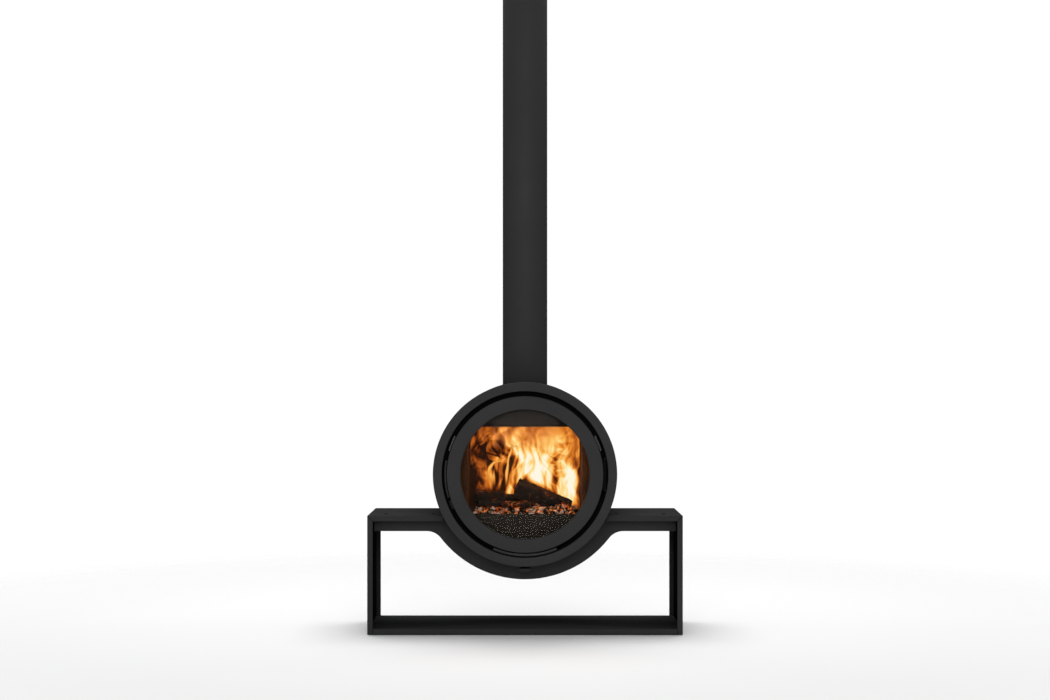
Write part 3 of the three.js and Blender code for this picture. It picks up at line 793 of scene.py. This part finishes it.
def ember_material():
    """Embers: each piece between black, ash grey and white, with a red glow from below."""
    n = Nodes("embers")
    tone = n.add("ShaderNodeAttribute", attribute_name="tone").outputs["Fac"]
    dusty = n.math("ADD", tone, n.math("MULTIPLY_ADD", n.noise(110.0, 5.0, 0.7), 0.7, -0.35))
    colour = n.ramp(dusty, [
        (0.15, (0.006, 0.005, 0.004)), (0.45, (0.05, 0.035, 0.028)), (0.65, (0.22, 0.17, 0.14)),
        (0.90, (0.60, 0.55, 0.50)),
    ])
    shader = n.principled(Roughness=0.95, Specular_IOR_Level=0.1, Emission_Strength=1.0)
    n.link(colour, shader.inputs["Base Color"])
    hot = n.add("ShaderNodeAttribute", attribute_name="hot").outputs["Fac"]
    glow = n.math("MULTIPLY", hot, n.range(n.noise(70.0, 4.0, 0.6), 0.42, 0.62, 0.0, 1.0), clamp=True)
    n.link(n.ramp(glow, [(0.0, (0, 0, 0)), (0.35, (0.30, 0.035, 0.003)), (1.0, (1.0, 0.30, 0.04))]),
           shader.inputs["Emission Color"])
    n.link(n.bump(n.noise(300.0, 4.0, 0.7), 0.6, 0.001), shader.inputs["Normal"])
    return n.material


def charred_log(name, start, end, radii, flats, seed, material):
    """A split log, burnt into cracked blocks. flats are (distance, angle) of its split faces."""
    rings, around = 150, 110
    cap_rings = 10
    shift = Vector((seed * 7.3, seed * 3.1, seed * 5.7))
    start, end = Vector(start), Vector(end)
    along = (end - start).normalized()
    side = along.cross(Vector((0, 0, 1))).normalized()
    upward = side.cross(along)
    length = (end - start).length
    bm = bmesh.new()
    layer = bm.verts.layers.float.new("ridge")

    def point(t, angle, inner=1.0):
        reach = min([1.0] + [d / math.cos(angle - a) for d, a in flats if math.cos(angle - a) > d])
        radius = radii[0] + (radii[1] - radii[0]) * t
        out = side * math.cos(angle) + upward * math.sin(angle)
        spot = start + along * (length * t) + out * (radius * reach)
        blocks = noise.voronoi((along * (length * t) * 0.55 + out * radius) * 95.0 + shift)[0]
        crack = min(1.0, (blocks[1] - blocks[0]) * 2.2)
        grain = noise.noise(Vector((t * length * 14, angle * 5, seed)))
        swell = noise.noise(spot * 22 + shift)
        depth = 0.10 * swell + 0.05 * grain + 0.075 * crack
        place = start + along * (length * t) + out * (radius * reach * (0.86 + depth) * inner)
        if inner < 1:
            place += along * (0.12 * radius * noise.noise(place * 120 + shift)) * (1 if t > 0.5 else -1)
        return place, crack

    def ring(t, inner=1.0):
        made = []
        for k in range(around):
            place, crack = point(t, 2 * math.pi * k / around, inner)
            v = bm.verts.new(place)
            v[layer] = crack
            made.append(v)
        return made

    loops = [ring(0.0, (i + 1) / cap_rings * 0.98) for i in range(cap_rings)]
    loops += [ring(i / (rings - 1)) for i in range(rings)]
    loops += [ring(1.0, (1 - i / cap_rings) * 0.98) for i in range(cap_rings)]
    for a, b in zip(loops, loops[1:]):
        for k in range(around):
            n = (k + 1) % around
            bm.faces.new((a[k], a[n], b[n], b[k]))
    bm.faces.new(loops[0])
    bm.faces.new(loops[-1])
    bmesh.ops.recalc_face_normals(bm, faces=bm.faces)
    obj = new_object(name, bm, [material])
    shade(obj)
    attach(obj, "stove")


def ember_bed(material):
    """A heap of broken embers over the grate, higher towards the back."""
    rng = random.Random(21)
    whole = bmesh.new()
    tone = whole.verts.layers.float.new("tone")
    hot = whole.verts.layers.float.new("hot")
    front, back = CHAMBER_FRONT + 10 * MM, 0.085
    for i in range(520):
        y = front + (back - front) * rng.random() ** 1.3
        half = FLAME_X - 16 * MM
        x = rng.uniform(-half, half)
        size = rng.uniform(4.0, 10.5) * MM
        heap = 0.009 + 0.024 * min(1.0, (y - front) / 0.09) + 0.004 * noise.noise(Vector((x * 30, y * 30, 0)))
        z = FLOOR_Z + rng.uniform(0.25, 1.0) * heap
        shape = Matrix.LocRotScale(
            Vector((x, y, max(z, FLOOR_Z + size))),
            Vector((rng.uniform(-1, 1), rng.uniform(-1, 1), rng.uniform(-1, 1))).to_track_quat("X", "Z"),
            Vector((
                size * rng.uniform(0.9, 1.7), size * rng.uniform(0.6, 1.0), size * rng.uniform(0.5, 0.9),
            )),
        )
        made = bmesh.ops.create_icosphere(whole, subdivisions=2, radius=1.0)["verts"]
        own_tone, own_hot = rng.random() ** 1.5, rng.random()
        seed = Vector((i, i * 0.7, 0))
        for v in made:
            v.co *= 0.82 + 0.32 * noise.noise(v.co * 1.6 + seed) + 0.18 * noise.noise(v.co * 4 + seed)
            v.co = shape @ v.co
            v.co.z = max(v.co.z, FLOOR_Z + 0.3 * MM)
            v[tone] = own_tone
            v[hot] = own_hot if own_hot > 0.72 else 0.0
    obj = new_object("ember_bed", whole, [material])
    soften(obj, 0)
    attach(obj, "stove")


def add_fire():
    char = char_material()
    ember_bed(ember_material())
    charred_log("log_across", (-0.028, 0.000, AXIS_Z - 0.053), (0.152, 0.020, AXIS_Z - 0.119),
                (38 * MM, 24 * MM), [(0.62, 2.2), (0.75, -0.4)], 3, char)
    charred_log("log_front_left", (-0.150, -0.030, AXIS_Z - 0.104), (0.020, -0.062, AXIS_Z - 0.108),
                (14 * MM, 12 * MM), [(0.70, 1.9)], 8, char)
    charred_log("log_back_left", (-0.166, 0.045, AXIS_Z - 0.088), (0.010, 0.060, AXIS_Z - 0.106),
                (29 * MM, 22 * MM), [(0.66, 1.2)], 13, char)
    flame_sheet("flame_curtain", curtain_heat(), 0.112, 0.026, flame_material("flame_main", 0.05, 0.22, 1.15))
    feed_x = [-0.19, -0.15, -0.03, 0.00, 0.10, 0.16, 0.19]
    left = tongue_heat(44, feed_x, [0.3, 0.85, 0.95, 0.3, 0.0, 0.0, 0.0], 0.20)
    veil = flame_material("flame_veil", 0.26, 0.70, 1.15)
    flame_sheet("flame_tongues", left, 0.040, 0.010, veil, least=0.26)
    add_fire_lamps()


def add_fire_lamps():
    """Warm light on the bricks, the roof and the logs."""
    lamps = [
        ("fire_right", (0.085, -0.030, AXIS_Z + 0.03), 0.50),
        ("fire_left", (-0.085, -0.030, AXIS_Z + 0.05), 0.25),
        ("fire_low", (0.02, -0.095, AXIS_Z - 0.03), 0.08),
    ]
    for step in (-1, 0, 1):
        height = AXIS_Z - 0.01 + 0.07 * step
        lamps.append((f"fire_edge_right_{step + 2}", (0.160, -0.170, height), 0.032))
        lamps.append((f"fire_edge_left_{step + 2}", (-0.160, -0.170, height), 0.013))
    for name, place, power in lamps:
        data = bpy.data.lights.new(name, "POINT")
        data.energy = power
        data.color = (1.0, 0.40, 0.11)
        data.shadow_soft_size = 0.01
        lamp = bpy.data.objects.new(name, data)
        lamp.location = place
        SCENE.collection.objects.link(lamp)
        lamp.visible_camera = False


# ---- small parts --------------------------------------------------------------------------------
def placed(obj, place, axis):
    """Turns a piece made along +Z to point along axis, and puts it in its place, in its mesh."""
    turn = Vector(axis).to_track_quat("Z", "Y").to_matrix().to_4x4()
    obj.data.transform(Matrix.Translation(place) @ turn)
    return obj


def stacked(bm, loops):
    """Skins a stack of equal loops of points and closes both ends."""
    rings = [[bm.verts.new(p) for p in loop] for loop in loops]
    for a, b in zip(rings, rings[1:]):
        for k in range(len(a)):
            n = (k + 1) % len(a)
            bm.faces.new((a[k], a[n], b[n], b[k]))
    bm.faces.new(rings[0])
    bm.faces.new(rings[-1])


def socket_screw(name, place, axis, radius, body, material):
    """A low round screw head with a hexagon socket."""
    height, socket = 0.34 * radius, 0.42 * radius
    angles = [2 * math.pi * k / 36 for k in range(36)]

    def hexagon(angle):
        return socket / math.cos((angle % (math.pi / 3)) - math.pi / 6)

    levels = [
        (lambda a: radius * 0.96, 0.0), (lambda a: radius, 0.25 * height),
        (lambda a: radius * 0.97, 0.7 * height), (lambda a: radius * 0.86, height),
        (lambda a: hexagon(a) * 1.08, height), (hexagon, 0.93 * height), (hexagon, 0.1 * height),
    ]
    bm = bmesh.new()
    stacked(bm, [
        [(reach(a) * math.cos(a), reach(a) * math.sin(a), z) for a in angles] for reach, z in levels
    ])
    bmesh.ops.recalc_face_normals(bm, faces=bm.faces)
    obj = placed(new_object(name, bm, [material]), place, axis)
    soften(obj, 0)
    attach(obj, body)


def add_screws():
    """Screws of the bench's top panels, the rear cover and the door's inner frame."""
    columns = (("inner", TOP_LO.x + 36.5 * MM), ("outer", TOP_HI.x - 56.5 * MM))
    rows = (("front", TOP_LO.y + 75 * MM), ("rear", TOP_LO.y + 300 * MM))
    top_z = TOP_HI.z - 0.6 * MM
    for side, sign in (("left", -1), ("right", 1)):
        for column, x in columns:
            for row, y in rows:
                name = f"screw_{side}_{column}_{row}"
                socket_screw(name, (sign * x, y, top_z), (0, 0, 1), 6.0 * MM, "stove", BLACK)
    cover_r, cover_y = DRUM_R - 14 * MM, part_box("rear_panel")[1].y - 0.2 * MM
    frame_r, frame_y = 223.5 * MM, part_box("door_frame")[1].y - 6.2 * MM
    count = 8
    for i in range(count):
        angle = (i + 0.5) * 360 / count
        spot = on_ring(cover_r, angle, cover_y)
        socket_screw(f"screw_cover_{i + 1}", spot, (0, 1, 0), 5.0 * MM, "stove", BLACK)
        spot = on_ring(frame_r, angle, frame_y)
        socket_screw(f"screw_frame_{i + 1}", spot, (0, 1, 0), 4.0 * MM, "door", ZINC)


def add_knob():
    """The air knob: a turned disc with a ribbed rim on a plain neck."""
    low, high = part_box("air_knob")
    x, y = (low.x + high.x) / 2, (low.y + high.y) / 2
    radius, neck = (high.x - low.x) / 2, 13 * MM
    top = low.z + 12 * MM
    rim = radius - 0.5 * MM
    levels = [
        (0.55 * radius, low.z, 0), (radius - 5 * MM, low.z, 0), (radius - 1.6 * MM, low.z + 1.2 * MM, 0),
        (rim, low.z + 2.6 * MM, 1), (rim, top - 2.6 * MM, 1), (radius - 1.6 * MM, top - 0.9 * MM, 0),
        (radius - 4 * MM, top, 0), (neck + 1.5 * MM, top, 0), (neck, top + 1.5 * MM, 0), (neck, high.z, 0),
    ]
    loops = []
    for reach, z, ribbed in levels:
        loop = []
        for k in range(240):
            a = 2 * math.pi * k / 240
            r = reach + ribbed * 0.5 * MM * math.cos(a * 40)
            loop.append((x + r * math.cos(a), y + r * math.sin(a), z))
        loops.append(loop)
    bm = bmesh.new()
    stacked(bm, loops)
    bmesh.ops.recalc_face_normals(bm, faces=bm.faces)
    piece = new_object("air_knob_fine", bm, [PAINT, BLACK])
    # painted shade: the disc's top face and the neck take the black paint, where the drum shades them
    for face in piece.data.polygons:
        face.material_index = int(face.center.z > top - 1 * MM)
    soften(piece, 0)
    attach(piece, "air_control")
    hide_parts("air_knob")


def add_rope_seal():
    """The knitted rope in the door's frame: a ring whose surface is laid in crossing strands."""
    low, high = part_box("rope_seal")
    minor = (high.y - low.y) / 2
    middle, depth = (high.x - low.x) / 2 - minor, (low.y + high.y) / 2
    around, sides, strands = 1080, 20, 150
    bm = bmesh.new()
    loops = []
    for k in range(around):
        a = 2 * math.pi * k / around
        loop = []
        for i in range(sides):
            b = 2 * math.pi * i / sides
            cross = math.sin(a * strands + 3 * b) * math.sin(a * strands - 3 * b)
            r = minor * (0.93 + 0.07 * cross)
            spot = on_ring(middle + r * math.cos(b), math.degrees(a), depth + r * math.sin(b))
            loop.append(bm.verts.new(spot))
        loops.append(loop)
    for k in range(around):
        a, b = loops[k], loops[(k + 1) % around]
        for i in range(sides):
            n = (i + 1) % sides
            bm.faces.new((a[i], b[i], b[n], a[n]))
    bmesh.ops.recalc_face_normals(bm, faces=bm.faces)
    piece = new_object("rope_seal_fine", bm, [ROPE])
    shade(piece)
    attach(piece, "door")
    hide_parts("rope_seal")


def add_vent_studs():
    """Two rows of small bright studs on each vent strip."""
    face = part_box("vent_strip_right")[0].y
    count, first, pitch, stagger = 8, 17.4, 1.45, 0.7           # degrees about the drum's axis
    inner_r, row_gap = 258.2, 2.6                               # millimetres
    levels = ((1.25 * MM, 0), (1.1 * MM, 0.5 * MM), (0.6 * MM, 0.9 * MM))       # (radius, height)
    turns = [2 * math.pi * k / 10 for k in range(10)]
    for side, sign in (("right", 1), ("left", -1)):
        bm = bmesh.new()
        for i in range(count):
            for row in (0, 1):
                angle = first + i * pitch + row * stagger
                spot = on_ring((inner_r + row_gap * row) * MM, angle, face + 0.3 * MM)
                loops = []
                for r, h in levels:
                    loops.append([
                        (sign * spot.x + r * math.cos(t), spot.y - h, spot.z + r * math.sin(t)) for t in turns
                    ])
                stacked(bm, loops)
        bmesh.ops.recalc_face_normals(bm, faces=bm.faces)
        piece = new_object(f"vent_studs_{side}", bm, [BRIGHT])
        soften(piece, 0)
        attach(piece, "stove")


def add_seams():
    """Dark joint lines on the bench's front edge: mitres above, butt joints below."""
    side_lo, side_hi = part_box("side_panel_right")
    half_width = 0.8 * MM
    margin = half_width             # keeps the lines inside the bench's outline
    inner, outer, face = side_lo.x, side_hi.x - margin, side_lo.y
    low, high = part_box("bottom_panel")[1].z, TOP_HI.z - margin
    thick = outer - inner
    for side, sign in (("right", 1), ("left", -1)):
        lines = [((inner, high - thick), (outer, high)), ((inner, side_lo.z + margin), (inner, low))]
        for name, ((x0, z0), (x1, z1)) in zip(("mitre", "butt"), lines):
            along = Vector((x1 - x0, z1 - z0)).normalized() * half_width
            corners = [(x0 - along.y, z0 + along.x), (x0 + along.y, z0 - along.x),
                       (x1 + along.y, z1 - along.x), (x1 - along.y, z1 + along.x)]
            bm = bmesh.new()
            stacked(bm, [[(sign * x, y, z) for x, z in corners] for y in (face + 0.5 * MM, face - 0.15 * MM)])
            bmesh.ops.recalc_face_normals(bm, faces=bm.faces)
            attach(new_object(f"seam_{name}_{side}", bm, [BLACK]), "stove")


def add_grip_ribs():
    """Slanted ribs near both ends of the door grip."""
    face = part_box("door_grip")[0].y + 0.4 * MM
    inner, outer = 260.4, 265.8                                 # millimetres from the drum's axis
    slant, half = 0.55, 0.14                                    # degrees: a rib's lean and half its width
    bottom, first, pitch, count = 270, 21.6, 1.0, 9
    corners = (
        (inner, -slant - half), (inner, -slant + half),
        (outer, slant + half), (outer, slant - half),
    )
    bm = bmesh.new()
    for end in (-1, 1):
        for i in range(count):
            middle = bottom + end * (first - i * pitch)
            loops = []
            for y in (face, face - 0.9 * MM):
                loops.append([on_ring(radius * MM, middle + lean, y) for radius, lean in corners])
            stacked(bm, loops)
    bmesh.ops.recalc_face_normals(bm, faces=bm.faces)
    piece = new_object("grip_ribs", bm, [PAINT])
    soften(piece, 0.15 * MM)
    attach(piece, "latch")


add_camera()
add_world()
add_lights()
add_floor()
dress_cad_nodes()
add_front_ring()
add_door_ring()
add_screws()
add_knob()
add_rope_seal()
add_vent_studs()
add_grip_ribs()
add_seams()
add_fire()
